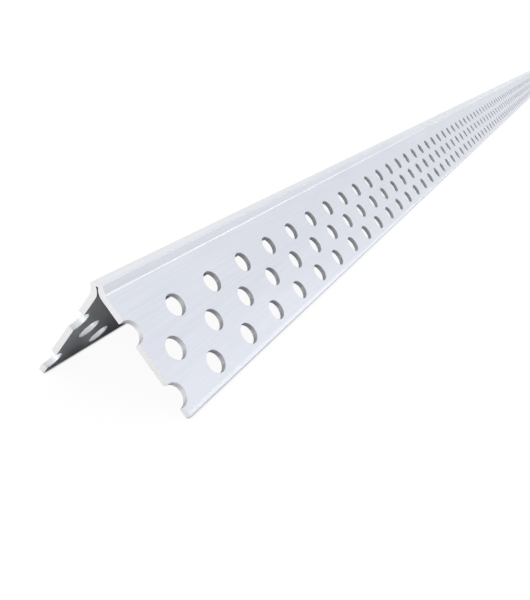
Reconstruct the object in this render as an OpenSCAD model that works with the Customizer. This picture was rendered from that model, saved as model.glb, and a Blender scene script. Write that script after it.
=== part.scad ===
/* [Stock] */
// Length of the piece, cut through the middle of the end holes
stock_l = 2500; // [200:10:3000]
// Width of each leg, from the virtual corner of the outer faces to the free edge
leg_w = 21; // [20:0.5:40]
// Thickness of the leg's wall
leg_t = 1; // [0.6:0.05:1.4]
// Angle between the two legs
corner_angle = 80; // [70:1:100]

/* [Nosing] */
// Height of the nosing's top above the virtual corner
nose_rise = 0.2; // [0:0.05:1]
// Thickness of the wall on each side of the slot
nose_wall = 0.85; // [0.6:0.05:1.2]
// Thickness of the wall over the slot
nose_top_t = 0.55; // [0.45:0.05:0.8]
// Radius of the rounded top edges
nose_r = 0.35; // [0.1:0.05:0.5]
// Outer radius of the bend between the nosing and a leg
bend_r = 1; // [0.4:0.1:1.5]
// Width of the slot left between the pinched walls
slot_w = 0.25; // [0.1:0.05:0.35]
// Diameter of the round end of the slot
slot_end_d = 0.38; // [0.36:0.02:0.5]

/* [Holes] */
// Diameter of each hole
hole_d = 3.6; // [2:0.1:4.5]
// Distance from hole to hole along a row
hole_pitch = 10; // [8:1:14]
// Distance from the virtual corner to the first row, down the leg
first_row = 7.7; // [6.7:0.5:8.7]
// Distance from one row to the next, down the leg
row_step = 5; // [4:0.5:5.5]
// Number of rows in each leg
rows = 3; // [1:1:3]

/* [Hidden] */
half = corner_angle / 2;
// height of the virtual corner when the piece stands on the free edges of its legs
corner_z = leg_w * cos(half) + leg_t * sin(half);
slot_half = slot_w / 2;
nose_half = slot_half + nose_wall;
slot_end_z = nose_rise - nose_top_t - slot_end_d / 2;
// the inner bend is wider than the outer one by the wall between them
flare_r = bend_r + nose_wall;
// distance down the leg where the drilled flat takes over from the bend
flat_start = (nose_half + leg_t) / sin(half) + flare_r * tan(half / 2);
flat_w = leg_w - flat_start;
hole_fn = 32;
arc_fn = 64;
// half a step of the round holes, which turns a corner of each away from the row's line
hole_turn = 180 / hole_fn;

// Points of the cross-section have the virtual corner at their origin, with the first
// coordinate across the piece and the second one up.

// point v down the right leg, at a depth below its outer face
function down_leg(v, depth) =
    [v * sin(half) - depth * cos(half), -v * cos(half) - depth * sin(half)];

// point where an upright wall at y runs into the leg, at a depth below its outer face
function wall_foot(y, depth) =
    [y, -(y + depth * cos(half)) / tan(half) - depth * sin(half)];

// corner between an upright wall and the leg, outside a circle that touches both
module bend_web(r) {
    reach = r * tan(half / 2);
    difference() {
        polygon([[0, 0], [0, reach], [r, reach], [reach * sin(half), -reach * cos(half)]]);
        translate([r, reach]) circle(r = r, $fn = arc_fn);
    }
}

// one half of the nosing with its bend, as far as the drilled flat
module half_profile() {
    difference() {
        union() {
            polygon([
                [0, nose_rise],
                [nose_half, nose_rise],
                wall_foot(nose_half, 0),
                down_leg(flat_start, 0),
                down_leg(flat_start, leg_t),
                wall_foot(slot_half, leg_t),
                [slot_half, slot_end_z],
                [0, slot_end_z]
            ]);
            translate(wall_foot(nose_half, 0)) bend_web(bend_r);
        }
        translate(wall_foot(slot_half, leg_t)) bend_web(flare_r);
        translate([0, slot_end_z]) circle(d = slot_end_d, $fn = arc_fn);
        translate([nose_half - nose_r, nose_rise - nose_r])
            difference() {
                square(nose_r);
                circle(r = nose_r, $fn = arc_fn);
            }
    }
}

// pinched nosing along the whole piece
module nosing() {
    rotate([90, 0, 90])
        linear_extrude(height = stock_l) {
            half_profile();
            mirror([1, 0]) half_profile();
        }
}

// row of holes along the piece, where every other row is moved on by half a pitch
module hole_row(index) {
    shift = (index % 2) / 2;
    v = first_row + index * row_step - flat_start;
    for (i = [0 : floor(stock_l / hole_pitch - shift)])
        translate([(i + shift) * hole_pitch, v])
            rotate(hole_turn)
                circle(d = hole_d, $fn = hole_fn);
}

// drilled flat of the right leg, from the bend down to the free edge
module flat() {
    translate([0, 0, -leg_t])
        linear_extrude(height = leg_t)
            difference() {
                square([stock_l, flat_w]);
                for (index = [0 : rows - 1]) hole_row(index);
            }
}

module leg() {
    rotate([half - 90, 0, 0])
        translate([0, flat_start, 0])
            flat();
}

module perforated_angle() {
    color([0.88, 0.89, 0.93])
        translate([-stock_l / 2, 0, corner_z]) {
            nosing();
            leg();
            mirror([0, 1, 0]) leg();
        }
}

perforated_angle();
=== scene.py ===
# %% [markdown]
# # A perforated corner angle
#
# The piece is one length of thin sheet metal. It was rolled into a corner with two legs,
# pinched into a raised nosing along the corner, and punched with three staggered rows of
# round holes in each leg. It stands on the free edges of its legs like a long tent.
#
# Three ways of making it in Blender come to mind: cut 1500 cylinders out of a rolled sheet
# with Booleans, repeat one punched tile with an Array modifier, or work every face out with
# numpy. Booleans on that many holes are slow and leave bad triangles. An array can't follow
# the half holes at the ends. So the faces are computed, and welded into one closed skin.

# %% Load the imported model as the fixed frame
import math

import bpy
import numpy as np
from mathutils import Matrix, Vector


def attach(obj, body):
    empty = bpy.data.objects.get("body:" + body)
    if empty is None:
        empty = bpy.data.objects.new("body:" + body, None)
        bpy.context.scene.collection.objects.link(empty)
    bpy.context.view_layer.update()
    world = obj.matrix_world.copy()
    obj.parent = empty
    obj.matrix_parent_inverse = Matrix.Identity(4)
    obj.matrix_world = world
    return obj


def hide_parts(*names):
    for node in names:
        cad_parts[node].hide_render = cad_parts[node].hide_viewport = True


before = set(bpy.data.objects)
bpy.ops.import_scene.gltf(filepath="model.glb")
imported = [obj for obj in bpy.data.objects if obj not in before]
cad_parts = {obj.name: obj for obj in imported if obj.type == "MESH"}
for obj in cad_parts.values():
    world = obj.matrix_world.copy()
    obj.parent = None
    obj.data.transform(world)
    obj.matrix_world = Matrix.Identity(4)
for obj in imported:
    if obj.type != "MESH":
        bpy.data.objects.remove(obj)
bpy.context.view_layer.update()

# %% [markdown]
# ## Sizes
#
# They are those of the part's own source, in millimetres. A leg is measured from the
# virtual corner, which is the line where the outer faces of the two legs would meet if the
# nosing weren't there.
#
# Three shapes are this script's own. In the photo the walls of the nosing lean out a little
# on their way down, and the source has them upright, a quarter of a millimetre away at most.
# The rounded rims of the holes and the rounded free edges come where they are first needed.

# %% Sizes in millimetres
LENGTH, LEG, WALL = 2500.0, 21.0, 1.0
HALF = math.radians(40.0)
NOSE_RISE, NOSE_WALL, NOSE_TOP, NOSE_R = 0.2, 0.85, 0.55, 0.35
BEND_R, SLOT_HALF, SLOT_END_R = 1.0, 0.125, 0.19
LEAN = math.radians(8.5)
HOLE_R, PITCH, FIRST_ROW, ROW_STEP = 1.8, 10.0, 7.7, 5.0
SIN, COS = math.sin(HALF), math.cos(HALF)
NOSE_HALF = SLOT_HALF + NOSE_WALL
CORNER_Z = LEG * COS + WALL * SIN
print("corner stands", round(CORNER_Z, 3), "mm above the floor")

# %% [markdown]
# ## The camera
#
# The camera goes in first, so that every later step can be looked at from where the photo
# was taken: close to the cut end, a little above the corner, looking along the piece.
# Its place and turn were worked out from the centres of the holes, which lie on a known
# grid. The lens is set for a frame of 530 by 600, whose long side is the sensor's 36 mm.

# %% Camera at the photo's viewing angle
camera = bpy.data.objects.new("camera", bpy.data.cameras.new("camera"))
camera.location = (-1.302634, -0.050904, 0.045174)
camera.rotation_mode = "QUATERNION"
camera.rotation_quaternion = (0.7130463, 0.4658396, -0.2861676, -0.438938)
camera.data.lens = 35.1877
camera.data.sensor_width = 36.0
camera.data.clip_start = 0.001
camera.data.clip_end = 20.0
bpy.context.scene.collection.objects.link(camera)
bpy.context.scene.camera = camera
print("camera stands", round(1000 * camera.location.z), "mm above the floor")

# %% [markdown]
# ## Collecting faces
#
# Every face is first kept as a row of corner points. Faces of one kind share an array of
# shape (faces, corners, 3), so a whole row of holes is one array operation. At the end the
# corners that fall on the same spot are welded into one vertex.

# %% A store of faces, and where a point on a leg lies
ROLLED, SAWN, PUNCHED, BURNISHED = 0, 1, 2, 3
blocks, finishes = [], []


def keep(corners, flip=False, finish=ROLLED):
    """Stores faces given as an array (faces, corners, 3). flip turns them inside out."""
    corners = np.asarray(corners, float)
    blocks.append(corners[:, ::-1] if flip else corners)
    finishes.append(np.full(len(corners), finish))


def on_leg(x, v, depth, side):
    """Point on a leg, in mm.

    x runs along the piece from its cut end, v down the leg, depth is below the outer face.
    across = side * (v sin(half) - depth cos(half))
    up = corner height - v cos(half) - depth sin(half)
    """
    x, v, depth = np.broadcast_arrays(np.asarray(x, float), v, depth)
    across = side * (v * SIN - depth * COS)
    up = CORNER_Z - v * COS - depth * SIN
    return np.stack([x - LENGTH / 2, across, up], axis=-1)


# %% [markdown]
# ## Holes
#
# A punched hole is a round wall with a patch of flat sheet about it, as long as the pitch
# and as wide as the step between rows. Each patch is cut through the middle of its hole
# into two faces with many corners, because a ring of flat faces would cost twice as many
# for the same look. The corners of the patches of one row fall on the middles of those of
# the next, as the rows are staggered by half a pitch.
#
# The punch leaves a slightly rounded rim. It is only seen near the camera, so the first
# holes have a rim and many small faces, and the far ones have fewer and no rim.

# %% The outlines of one hole and its patch
def hole_arc(rim, start, turn, steps):
    """Points (x, v) on a part of a hole's circle, with the hole's centre at the origin.

    x = (radius + rim) cos(angle), v = -(radius + rim) sin(angle). The angle goes from start
    through turn in equal steps, so it counts from +x towards the corner.
    """
    angle = start + turn * np.arange(steps + 1) / steps
    return (HOLE_R + rim) * np.stack([np.cos(angle), -np.sin(angle)], axis=-1)


def patch_parts(part, steps):
    """Upper and lower border of a patch, each with the start, turn and steps of its arc.

    part is "whole", or anything else for the two quarters beside a half hole.
    """
    w, h = PITCH / 2, ROW_STEP / 2
    if part == "whole":
        upper = [[-w, 0], [-w, -h], [0, -h], [w, -h], [w, 0]]
        lower = [[w, 0], [w, h], [0, h], [-w, h], [-w, 0]]
        return [(upper, 0.0, math.pi, steps // 2), (lower, math.pi, math.pi, steps // 2)]
    upper = [[0, -h], [w, -h], [w, 0]]
    lower = [[w, 0], [w, h], [0, h]]
    quarter = math.pi / 2
    return [(upper, 0.0, quarter, steps // 4), (lower, 3 * quarter, quarter, steps // 4)]


# %% Faces of a row of holes
def add_holes(xs, row, steps, rim, part):
    """Adds the holes of one row, with their centres at xs, to both faces of both legs.

    part is "whole", or "near" or "far" for the half hole that the cut end leaves.
    A quarter circle has steps / 4 faces. The wall goes from rim to WALL - rim in depth.
    """
    xs = np.atleast_1d(np.asarray(xs, float))
    row_v = FIRST_ROW + row * ROW_STEP
    along = -1.0 if part == "far" else 1.0
    for side in (1, -1):
        inside_out = (side < 0) != (part == "far")
        for border, start, turn, count in patch_parts(part, steps):
            ring = hole_arc(rim, start, turn, count)
            bore = hole_arc(0.0, start, turn, count)
            flat = np.vstack([border, ring])
            x = xs[:, None] + along * flat[None, :, 0]
            v = row_v + np.broadcast_to(flat[:, 1], x.shape)
            keep(on_leg(x, v, 0.0, side), flip=inside_out)
            keep(on_leg(x, v, WALL, side), flip=not inside_out)
            stops = [(bore, rim), (bore, WALL - rim)]
            if rim:
                stops = [(ring, 0.0)] + stops + [(ring, WALL)]
            for (outer, outer_deep), (inner, inner_deep) in zip(stops[:-1], stops[1:]):
                quad = np.stack([outer[1:], outer[:-1], inner[:-1], inner[1:]], axis=1)
                deep = np.array([outer_deep, outer_deep, inner_deep, inner_deep])
                x = xs[:, None, None] + along * quad[None, :, :, 0]
                v = row_v + np.broadcast_to(quad[None, :, :, 1], x.shape)
                wall = on_leg(x, v, deep, side).reshape(-1, 4, 3)
                keep(wall, flip=inside_out, finish=PUNCHED)


# %% Punch both legs
# each zone: its first hole, the first hole after it, sides of a hole, width of its rim
ZONES = [(0, 12, 40, 0.07), (12, 45, 24, 0.07), (45, 250, 16, 0.0)]
for first, last, steps, rim in ZONES:
    for row in (0, 2):
        numbers = np.arange(max(first, 1), last)
        add_holes(numbers * PITCH, row, steps, rim, "whole")
    add_holes((np.arange(first, last) + 0.5) * PITCH, 1, steps, rim, "whole")
for row in (0, 2):
    add_holes(0.0, row, ZONES[0][2], ZONES[0][3], "near")
    add_holes(LENGTH, row, ZONES[-1][2], ZONES[-1][3], "far")
print("hole faces:", sum(len(block) for block in blocks))

# %% [markdown]
# ## The rolled section
#
# What the punch doesn't touch is a profile carried straight along the piece: the rounded
# top of the nosing, its two walls pressed together, the slot that stays open between them
# and the folds into the legs. Only half of it is written down, since the other half is its
# mirror image. A lathe-like extrusion with a curve's bevel would do the same, but then its
# points wouldn't meet the corners of the punched patches.
#
# The rollers press hardest on the fold and leave it smoother than the flats, so its faces
# are kept apart for a finish of their own.

# %% Helpers for the section, whose points are (across, up) from the virtual corner
def arc(centre, radius, first, last, steps):
    """Points on a circle from one angle to another, in degrees: centre + radius (cos, sin)."""
    angle = np.radians(np.linspace(first, last, steps + 1))
    return np.asarray(centre) + radius * np.stack([np.cos(angle), np.sin(angle)], axis=-1)


def leg_point(v, depth):
    """Point v down the leg at that depth: (v sin - depth cos, -v cos - depth sin) of half."""
    return np.array([[v * SIN - depth * COS, -v * COS - depth * SIN]])


def wall_foot(y, depth):
    """Height at which an upright wall at y would run into the leg's face at that depth."""
    return -(y + depth * COS) * COS / SIN - depth * SIN


# %% Half of the nosing
BEND_STEPS = 8
LEG_TURN = math.degrees(HALF)
INNER_R = BEND_R + NOSE_WALL
inner_bend = (SLOT_HALF + INNER_R, wall_foot(SLOT_HALF, WALL) + INNER_R * math.tan(HALF / 2))
# the outer wall starts NOSE_HALF from the middle and leans out until it meets the leg
foot = (NOSE_HALF + NOSE_RISE * math.tan(LEAN)) / (1 - math.tan(LEAN) * COS / SIN)
# the fold touches the wall and the leg at this distance from where they would meet
reach = BEND_R * math.tan((HALF - LEAN) / 2)
outer_bend = (
    foot + BEND_R * math.cos(LEAN) - reach * math.sin(LEAN),
    wall_foot(foot, 0) + BEND_R * math.sin(LEAN) + reach * math.cos(LEAN),
)
shoulder = (NOSE_HALF - NOSE_R * math.tan((math.pi / 2 - LEAN) / 2), NOSE_RISE - NOSE_R)
slot_end = (0.0, NOSE_RISE - NOSE_TOP - SLOT_END_R)
slot_open = math.degrees(math.acos(SLOT_HALF / SLOT_END_R))
fold = arc(outer_bend, BEND_R, 180 + math.degrees(LEAN), 180 + LEG_TURN, BEND_STEPS)
nose = np.vstack([
    [[0.0, NOSE_RISE]],
    arc(shoulder, NOSE_R, 90, math.degrees(LEAN), BEND_STEPS),
    fold[:1],
])
cap = np.vstack([nose, fold[1:]])
slot = np.vstack([
    arc(inner_bend, INNER_R, 180 + LEG_TURN, 180, BEND_STEPS),
    arc(slot_end, SLOT_END_R, -slot_open, 90, BEND_STEPS),
])
print("outer wall meets the leg", round(foot, 3), "mm from the middle")

# %% The rounded free edge of a leg
EDGE_R = 0.05
outward, down_leg = np.array([[COS, SIN]]), np.array([[SIN, -COS]])
outer_centre = leg_point(LEG - EDGE_R, EDGE_R)
inner_centre = leg_point(LEG - EDGE_R, WALL - EDGE_R)
edge = np.vstack([
    outer_centre + EDGE_R * outward,
    outer_centre + EDGE_R * (outward + down_leg) / math.sqrt(2),
    leg_point(LEG, EDGE_R),
    leg_point(LEG, WALL - EDGE_R),
    inner_centre + EDGE_R * (down_leg - outward) / math.sqrt(2),
    leg_point(LEG - EDGE_R, WALL),
])
print("section points in one half:", len(cap) + len(slot) + len(edge))

# %% [markdown]
# ## Along the piece
#
# The section is carried from station to station, 50 mm apart, since a straight run needs no
# more. The row of holes beside it has a corner every 5 mm. Stations as close as that would
# fit too, at ten times the faces. Instead the two are joined by a strip of flat sheet, whose
# faces have two corners on the plain side and eleven on the other, so no edge stays open.

# %% Where section points go along the piece
STATION_GAP = 50.0
STATIONS = np.linspace(0, LENGTH, round(LENGTH / STATION_GAP) + 1)
FINE = np.linspace(0, LENGTH, round(2 * LENGTH / PITCH) + 1)
# how far down the leg the punched band begins and ends
TOP_V, LOW_V = FIRST_ROW - ROW_STEP / 2, FIRST_ROW + 2.5 * ROW_STEP
print("stations:", len(STATIONS), "corners of the fine line:", len(FINE))


def set_along(x, points, side):
    """Section points (across, up) put at x along the piece, on one side."""
    x, across, up = np.broadcast_arrays(np.asarray(x, float), points[..., 0], points[..., 1])
    return np.stack([x - LENGTH / 2, side * across, CORNER_Z + up], axis=-1)


def carry(points, side, finish=ROLLED):
    """Quads between neighbouring section points, from station to station."""
    near, far = STATIONS[:-1, None], STATIONS[1:, None]
    this, following = points[None, :-1], points[None, 1:]
    corners = [(near, this), (far, this), (far, following), (near, following)]
    quads = np.stack([set_along(x, point, side) for x, point in corners], axis=2)
    keep(quads.reshape(-1, 4, 3), flip=side < 0, finish=finish)


def join_strip(v_plain, v_row, depth, side):
    """Flat between a plain line, with corners at the stations, and the fine line of a row."""
    fine = FINE[:-1].reshape(len(STATIONS) - 1, -1)
    fine = np.hstack([fine, STATIONS[1:, None]])
    ends = np.stack([STATIONS[1:], STATIONS[:-1]], axis=1)
    x = np.hstack([fine, ends])
    v = np.hstack([np.full(fine.shape, v_row), np.full(ends.shape, v_plain)])
    # the order is right on the outer face of the +Y leg where the line lies below the row
    turns = int(side < 0) + int(depth > 0) + int(v_plain < v_row)
    keep(on_leg(x, v, depth, side), flip=turns % 2 == 1)


def distance_down(point):
    """Distance down the leg of a section point: across sin(half) - up cos(half)."""
    return point[0] * SIN - point[1] * COS


# %% Carry the section along both sides
for side in (1, -1):
    carry(nose, side)
    carry(fold, side, BURNISHED)
    carry(edge, side)
    carry(slot, side)
    join_strip(distance_down(cap[-1]), TOP_V, 0.0, side)
    join_strip(LEG - EDGE_R, LOW_V, 0.0, side)
    join_strip(LEG - EDGE_R, LOW_V, WALL, side)
    join_strip(distance_down(slot[0]), TOP_V, WALL, side)
print("faces so far:", sum(len(block) for block in blocks))

# %% [markdown]
# ## The cut ends
#
# The saw went through the middle of a column of holes. What it left on each leg is three
# pieces of the section: from the nosing to the first half hole, between the half holes,
# and from the last half hole to the free edge.

# %% Close both ends
def leg_line(values, depth):
    """Section points down a leg at one depth."""
    return np.vstack([leg_point(v, depth) for v in values])


def end_pieces(rim):
    """The three outlines of a cut end, each going down the outer face and up the inner one."""
    first_low, last_low = FIRST_ROW - HOLE_R, FIRST_ROW + 2 * ROW_STEP - HOLE_R
    first_high, last_high = FIRST_ROW + HOLE_R, FIRST_ROW + 2 * ROW_STEP + HOLE_R

    def lip(v, sign):
        """Corners round a hole's edge at v, from the outer face to the inner one."""
        if not rim:
            return np.vstack([leg_point(v, 0), leg_point(v, WALL)])
        return np.vstack([
            leg_point(v + sign * rim, 0),
            leg_point(v, rim),
            leg_point(v, WALL - rim),
            leg_point(v + sign * rim, WALL),
        ])

    middle = [FIRST_ROW + ROW_STEP / 2, FIRST_ROW + ROW_STEP, FIRST_ROW + 1.5 * ROW_STEP]
    top = np.vstack([cap, leg_point(TOP_V, 0), lip(first_low, -1), leg_point(TOP_V, WALL), slot])
    between = np.vstack([
        leg_line(middle, 0),
        lip(last_low, -1),
        leg_line(middle[::-1], WALL),
        lip(first_high, 1)[::-1],
    ])
    bottom = np.vstack([
        leg_point(LOW_V, 0), edge, leg_point(LOW_V, WALL), lip(last_high, 1)[::-1],
    ])
    return top, between, bottom


for x, rim in ((0.0, ZONES[0][3]), (LENGTH, ZONES[-1][3])):
    for side in (1, -1):
        for outline in end_pieces(rim):
            keep(set_along(x, outline, side)[None], flip=(side < 0) != (x > 0), finish=SAWN)

# %% [markdown]
# ## One closed skin
#
# So far every face has corners of its own. Merge by Distance would weld them once they are
# in a mesh. Here it happens before that: each corner is rounded to a fine grid, and corners
# with the same place on it become one vertex. A closed skin has every edge twice, once in
# each direction, so a gap or a face that is inside out shows in a count of the edges.

# %% Weld the faces
STEPS_PER_MM = 1e4
METRES_PER_MM = 0.001


def weld(blocks):
    """One vertex for all corners that agree to a step of the grid.

    The quarter of a step that is added keeps round numbers away from where rounding turns.
    Returns the vertices in metres and the faces as lists of vertex numbers.
    """
    corners = np.vstack([block.reshape(-1, 3) for block in blocks])
    keys = np.round(corners * STEPS_PER_MM + 0.25).astype(np.int64)
    _, first, inverse = np.unique(keys, axis=0, return_index=True, return_inverse=True)
    inverse = inverse.ravel()
    faces, used = [], 0
    for block in blocks:
        count = block.shape[0] * block.shape[1]
        faces += inverse[used:used + count].reshape(block.shape[:2]).tolist()
        used += count
    return corners[first] * METRES_PER_MM, faces


def open_edges(faces):
    """Number of edges without exactly one partner that runs the other way.

    The edge from vertex i to vertex j has the number i * total + j, its partner j * total + i.
    """
    start = np.concatenate([np.array(face) for face in faces])
    end = np.concatenate([np.roll(np.array(face), -1) for face in faces])
    total = int(start.max()) + 1
    there, back = start * total + end, end * total + start
    return len(np.setdiff1d(there, back)) + len(there) - len(np.unique(there))


vertices, faces = weld(blocks)
print("vertices", len(vertices), "faces", len(faces), "open edges", open_edges(faces))
print("triangles", sum(len(face) - 2 for face in faces))

# %% Put the skin into a mesh
SHARP_ANGLE = math.radians(28)
mesh = bpy.data.meshes.new("perforated_angle_skin")
mesh.from_pydata(vertices.tolist(), [], faces)
mesh.polygons.foreach_set("material_index", np.concatenate(finishes).astype(np.int32))
mesh.shade_smooth()
mesh.set_sharp_from_angle(angle=SHARP_ANGLE)
angle_piece = bpy.data.objects.new("perforated_angle_skin", mesh)
bpy.context.scene.collection.objects.link(angle_piece)
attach(angle_piece, "root")
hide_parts("perforated_angle")
print("mesh polygons:", len(mesh.polygons))

# %% [markdown]
# ## The metal
#
# The sheet is pale, satin aluminium. Rolling leaves very fine lines along its length and a
# faint cloudiness, and no mirror image anywhere. The fold gets the same look, only
# smoother, so both come from one function. The lines could be painted in an image, but a
# noise stretched along the object's own length keeps its scale at any distance, and comes
# out the same on both legs, since it is stretched in one direction only.
#
# A node tree is mostly the same few steps again: a noise, a range, a mix of two colours.
# Each gets a short function that adds one node and returns what comes out of it.

# %% Functions that each add one step to a node tree
# the Mix node has a set of sockets for each kind of value, and these are those of colours
FACTOR_IN, COLOUR_A, COLOUR_B, COLOUR_OUT = 0, 6, 7, 2


def noise(tree, stretch, scale, detail):
    """Noise on the object's own coordinates, drawn out along an axis where stretch is small."""
    place = tree.nodes.new("ShaderNodeTexCoord")
    mapping = tree.nodes.new("ShaderNodeMapping")
    mapping.inputs["Scale"].default_value = stretch
    grains = tree.nodes.new("ShaderNodeTexNoise")
    grains.inputs["Scale"].default_value = scale
    grains.inputs["Detail"].default_value = detail
    tree.links.new(place.outputs["Object"], mapping.inputs["Vector"])
    tree.links.new(mapping.outputs["Vector"], grains.inputs["Vector"])
    return grains.outputs["Fac"]


def span(tree, value, low, high, start=0.0, end=1.0):
    """Number that goes from low to high as value goes from start to end, held beyond both."""
    node = tree.nodes.new("ShaderNodeMapRange")
    node.inputs["From Min"].default_value = start
    node.inputs["From Max"].default_value = end
    node.inputs["To Min"].default_value = low
    node.inputs["To Max"].default_value = high
    tree.links.new(value, node.inputs["Value"])
    return node.outputs["Result"]


def colour_span(tree, value, first, second):
    """Colour that goes from first to second as value goes from 0 to 1."""
    node = tree.nodes.new("ShaderNodeMix")
    node.data_type = "RGBA"
    node.inputs[COLOUR_A].default_value = (*first, 1)
    node.inputs[COLOUR_B].default_value = (*second, 1)
    tree.links.new(value, node.inputs[FACTOR_IN])
    return node.outputs[COLOUR_OUT]


def new_metal(name):
    """Material of bare metal. Returns it with its node tree and its shader."""
    material = bpy.data.materials.new(name)
    material.use_nodes = True
    shader = material.node_tree.nodes["Principled BSDF"]
    shader.inputs["Metallic"].default_value = 1.0
    return material, material.node_tree, shader


# %% Satin rolled aluminium
def rolled_aluminium(name, rough_from, rough_to):
    """Metal whose colour, roughness and bump vary in fine lines along X."""
    material, tree, shader = new_metal(name)
    lines = noise(tree, stretch=(0.012, 1.0, 1.0), scale=5200.0, detail=3.0)
    clouds = noise(tree, stretch=(0.25, 1.0, 1.0), scale=160.0, detail=4.0)
    tint = colour_span(tree, clouds, (0.745, 0.762, 0.808), (0.800, 0.816, 0.858))
    rough = span(tree, lines, rough_from, rough_to)

    grain = tree.nodes.new("ShaderNodeMix")
    grain.data_type = "RGBA"
    grain.blend_type = "MULTIPLY"
    grain.inputs[FACTOR_IN].default_value = 0.16
    tree.links.new(tint, grain.inputs[COLOUR_A])
    tree.links.new(lines, grain.inputs[COLOUR_B])

    bump = tree.nodes.new("ShaderNodeBump")
    bump.inputs["Strength"].default_value = 0.25
    bump.inputs["Distance"].default_value = 0.00003
    tree.links.new(lines, bump.inputs["Height"])

    tree.links.new(grain.outputs[COLOUR_OUT], shader.inputs["Base Color"])
    tree.links.new(rough, shader.inputs["Roughness"])
    tree.links.new(bump.outputs["Normal"], shader.inputs["Normal"])
    return material


# %% [markdown]
# ## Sawn and punched edges
#
# The saw leaves the ends bare, bright and so rough that they shade evenly. The punch tears
# the lower part of a hole's wall and rubs the upper part. The punched walls are coloured
# darker than the sawn ends, a painted shade for the inside of the holes.
# A mask could tell them apart within one material. A finish for each kind of face is
# plainer, and each can be changed alone.

# %% Bare metal with a fine grain
def bare_aluminium(name, dark, light, rough_from, rough_to):
    """Bare metal whose colour goes from dark to light, and its roughness along, in grains."""
    material, tree, shader = new_metal(name)
    grains = noise(tree, stretch=(1.0, 1.0, 1.0), scale=6000.0, detail=2.0)
    tree.links.new(colour_span(tree, grains, dark, light), shader.inputs["Base Color"])
    tree.links.new(span(tree, grains, rough_from, rough_to), shader.inputs["Roughness"])
    return material


# %% Give each face its finish, in the order of the finish numbers
for metal in (
    rolled_aluminium("rolled_aluminium", 0.36, 0.46),
    bare_aluminium("sawn_aluminium", (0.77, 0.76, 0.77), (0.85, 0.84, 0.85), 0.70, 0.85),
    # punched walls: a darker colour than the sawn ends, as painted shade inside the holes
    bare_aluminium("punched_aluminium_painted_shade", (0.68, 0.69, 0.72), (0.78, 0.79, 0.82), 0.54, 0.66),
    rolled_aluminium("burnished_aluminium", 0.33, 0.40),
):
    angle_piece.data.materials.append(metal)
# the CAD node is hidden, and gets the rolled finish too
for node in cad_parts.values():
    node.data.materials.clear()
    node.data.materials.append(angle_piece.data.materials[ROLLED])
print("finishes:", [metal.name for metal in angle_piece.data.materials])

# %% [markdown]
# ## The floor
#
# The photo is a product shot on white paper, with hardly a shadow. A floor lit until it
# clips to white would burn out the pale metal too. So the paper is a pale diffuse surface
# that takes the real shadow, and for the camera it is mixed with plain white. The white
# gives way to a thin grey line where the piece stands on it.
#
# Metal shows the floor as well, so its reflections get a share of that white. Under the
# tent of metal the photo is dark, though, and light that bounces between bright metal and
# bright paper makes it too pale. So shade is painted on the paper: its colour gets darker
# where the piece covers it, and metal sees less white there. An ambient occlusion node
# measures how covered a spot is.

# %% More steps for a node tree, which the floor and the room share
def math_step(tree, operation, first, second):
    """What a Math node makes of two values, each of which is a socket or a plain float."""
    node = tree.nodes.new("ShaderNodeMath")
    node.operation = operation
    for socket, value in zip(node.inputs, (first, second)):
        if isinstance(value, float):
            socket.default_value = value
        else:
            tree.links.new(value, socket)
    return node.outputs["Value"]


def openness(tree, distance):
    """How open a spot is: 1 where nothing within that distance covers it, 0 where all does."""
    node = tree.nodes.new("ShaderNodeAmbientOcclusion")
    node.inputs["Distance"].default_value = distance
    return node.outputs["AO"]


def seen_in_metal(tree, ray, share):
    """The larger of share, for a ray off a glossy surface, and 1, for one through glass."""
    glossy = math_step(tree, "MULTIPLY", ray.outputs["Is Glossy Ray"], share)
    return math_step(tree, "MAXIMUM", glossy, ray.outputs["Is Transmission Ray"])


def show_white(tree, share, real, white, out):
    """Mixes the real shader with the plain white one by share, for the output node out."""
    mix = tree.nodes.new("ShaderNodeMixShader")
    tree.links.new(share, mix.inputs["Fac"])
    tree.links.new(real, mix.inputs[1])
    tree.links.new(white, mix.inputs[2])
    tree.links.new(mix.outputs["Shader"], out.inputs["Surface"])


# %% White paper floor
FLOOR_REACH = 6.0


def white_paper(name):
    """Pale diffuse paper, with painted shade where it is covered, and mostly plain white for the
    camera.

    The share of white is 0.93 times the larger of two values: for a camera ray how open the
    spot is at 0.7 mm, and for a mirrored ray its share times (how open at 20 mm) ^ 5.
    """
    material = bpy.data.materials.new(name)
    material.use_nodes = True
    tree = material.node_tree
    tree.nodes.clear()
    out = tree.nodes.new("ShaderNodeOutputMaterial")
    ray = tree.nodes.new("ShaderNodeLightPath")
    open_wide = openness(tree, 0.02)
    open_close = span(tree, openness(tree, 0.0007), 0.1, 1.0, start=0.1, end=0.45)

    paper = tree.nodes.new("ShaderNodeBsdfDiffuse")
    # painted shade: the paper's colour goes from pale to dark where the piece covers it
    shade = math_step(tree, "POWER", open_wide, 1.1)
    colour = colour_span(tree, shade, (0.25, 0.237, 0.225), (0.78, 0.775, 0.765))
    tree.links.new(colour, paper.inputs["Color"])
    white = tree.nodes.new("ShaderNodeEmission")
    white.inputs["Strength"].default_value = 1.02

    # near the contact the camera sees the paper itself, with its real shadow and its painted
    # shade
    direct = math_step(tree, "MULTIPLY", ray.outputs["Is Camera Ray"], open_close)
    # painted shade in reflections: metal sees less of the white where the paper is covered
    clear = math_step(tree, "POWER", open_wide, 5.0)
    mirrored = math_step(tree, "MULTIPLY", seen_in_metal(tree, ray, 0.3), clear)
    share = math_step(tree, "MULTIPLY", math_step(tree, "MAXIMUM", direct, mirrored), 0.93)
    show_white(tree, share, paper.outputs["BSDF"], white.outputs["Emission"], out)
    return material


floor_corners = FLOOR_REACH * np.array([(-1, -1, 0), (1, -1, 0), (1, 1, 0), (-1, 1, 0)])
floor_mesh = bpy.data.meshes.new("floor")
floor_mesh.from_pydata(floor_corners.tolist(), [], [(0, 1, 2, 3)])
floor = bpy.data.objects.new("floor", floor_mesh)
floor.data.materials.append(white_paper("white_paper"))
bpy.context.scene.collection.objects.link(floor)
print("floor reaches", FLOOR_REACH, "m each way")

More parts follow.
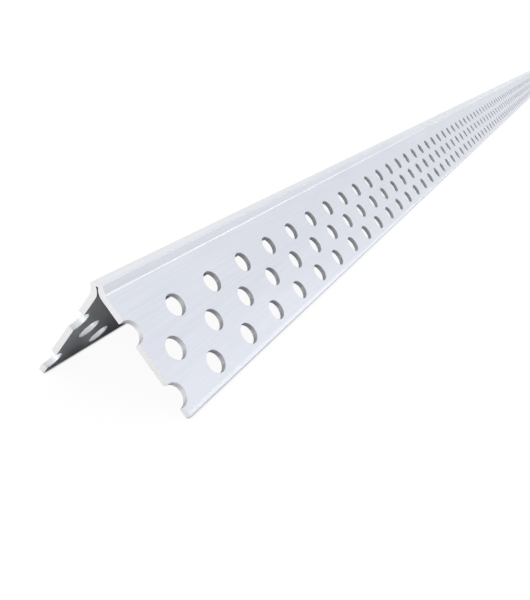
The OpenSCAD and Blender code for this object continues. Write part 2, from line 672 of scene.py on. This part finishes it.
# %% [markdown]
# ## Light
#
# Metal shows its surroundings, so the room matters more than the lamps. The room is white
# overhead and greyer towards the horizon, which gives the legs their flat, pale look. It is
# brighter on the side away from the camera, which the flat top of the nosing shows.
#
# Two low panels add what the room lacks. A long strip beside the piece is caught by the
# fold under the nosing as one thin bright line. A panel beyond the cut end brightens the
# sawn faces, but not the legs that it only grazes.

# %% The white room
world = bpy.data.worlds.new("white_room")
bpy.context.scene.world = world
world.use_nodes = True
tree = world.node_tree
toward = tree.nodes.new("ShaderNodeTexCoord")
split = tree.nodes.new("ShaderNodeSeparateXYZ")
tree.links.new(toward.outputs["Generated"], split.inputs["Vector"])
strength = span(tree, split.outputs["Z"], 0.66, 1.10, start=0.0, end=0.5)
sideways = span(tree, split.outputs["Y"], 0.0, 1.0, start=-0.6, end=0.6)
room = tree.nodes["Background"]
tree.links.new(strength, room.inputs["Strength"])
tree.links.new(
    colour_span(tree, sideways, (0.855, 0.88, 0.975), (1.245, 1.26, 1.2)),
    room.inputs["Color"],
)

# %% The plain white that the camera sees behind everything
backdrop = tree.nodes.new("ShaderNodeBackground")
backdrop.inputs["Color"].default_value = (1, 1, 1, 1)
backdrop.inputs["Strength"].default_value = 1.0
ray = tree.nodes.new("ShaderNodeLightPath")
share = math_step(tree, "MAXIMUM", ray.outputs["Is Camera Ray"], seen_in_metal(tree, ray, 0.5))
show_white(
    tree, share, room.outputs["Background"], backdrop.outputs["Background"],
    tree.nodes["World Output"],
)
print("room nodes:", len(tree.nodes))

# %% Soft panels
def soft_panel(name, stand, target, width, height, radiance):
    """Rectangular lamp at stand, facing target. Its power in watts is pi * area * radiance."""
    data = bpy.data.lights.new(name, "AREA")
    data.shape = "RECTANGLE"
    data.size, data.size_y = width, height
    data.energy = math.pi * width * height * radiance
    panel = bpy.data.objects.new(name, data)
    panel.location = stand
    panel.rotation_mode = "QUATERNION"
    panel.rotation_quaternion = (Vector(target) - Vector(stand)).to_track_quat("-Z", "Y")
    panel.visible_camera = False
    bpy.context.scene.collection.objects.link(panel)
    print(name, "gives", round(data.energy, 1), "W")


soft_panel(
    "top_panel", stand=(-0.8, -1.6, 2.4), target=(-0.9, 0, 0),
    width=3.0, height=2.0, radiance=0.2,
)
soft_panel(
    "fold_strip", stand=(2.0, -1.5, 0.41), target=(2.0, 0, 0.015),
    width=4.6, height=0.16, radiance=2.9,
)
soft_panel(
    "cut_end_panel", stand=(-5.8, 0.6, 0.4), target=(-1.25, 0, 0.01),
    width=3.0, height=0.72, radiance=6.6,
)
bpy.context.scene.view_settings.view_transform = "Standard"
